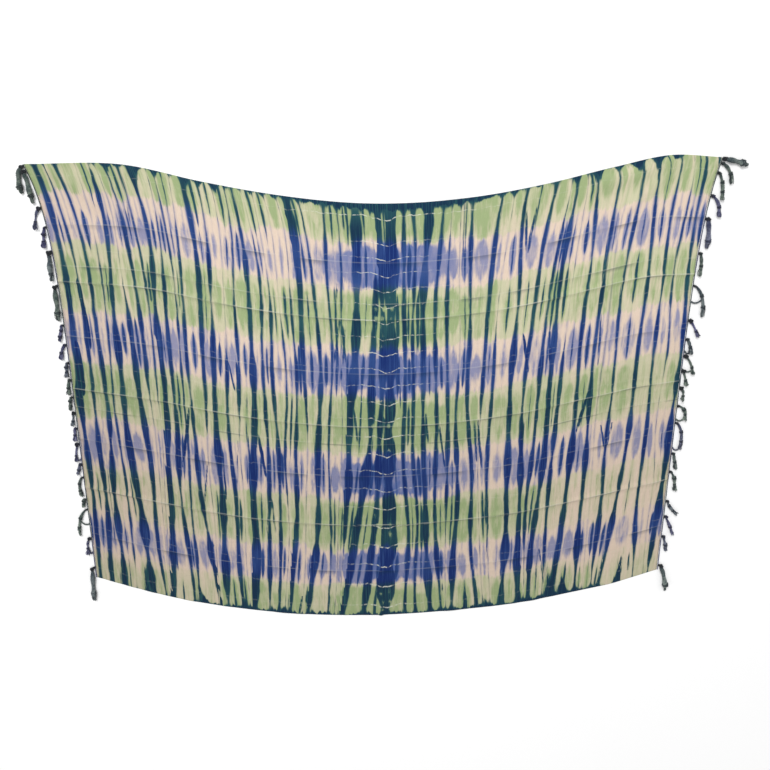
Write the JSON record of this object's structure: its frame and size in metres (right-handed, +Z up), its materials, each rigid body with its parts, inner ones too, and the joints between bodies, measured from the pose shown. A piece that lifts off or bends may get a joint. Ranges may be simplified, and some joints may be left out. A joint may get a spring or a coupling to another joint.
{
  "type": "sarong",
  "caption": "Wide rectangular sarong of thin tie-dyed cloth, laid out flat with a dipping upper edge and a tasselled fringe down each short side.",
  "frame": {"origin": "centre of the footprint of the laid-out sarong, on the surface that it lies on", "axes": "+X along the cloth's long side, towards the right fringe; +Y towards the dipping upper edge; +Z up out of the surface, on the cloth's face"},
  "size_m": [1.783, 1.2798, 0.0103],
  "materials": {
    "dyed_cloth": "thin plain-woven rayon, resist-dyed in green, blue, lavender and peach",
    "fringe_yarn": "twisted yarn, dyed dark green and navy with the cloth"
  },
  "bodies": {
    "root": {"cloth_panel": "dyed_cloth", "fringe_left": "fringe_yarn", "fringe_right": "fringe_yarn"}
  },
  "joints": []
}
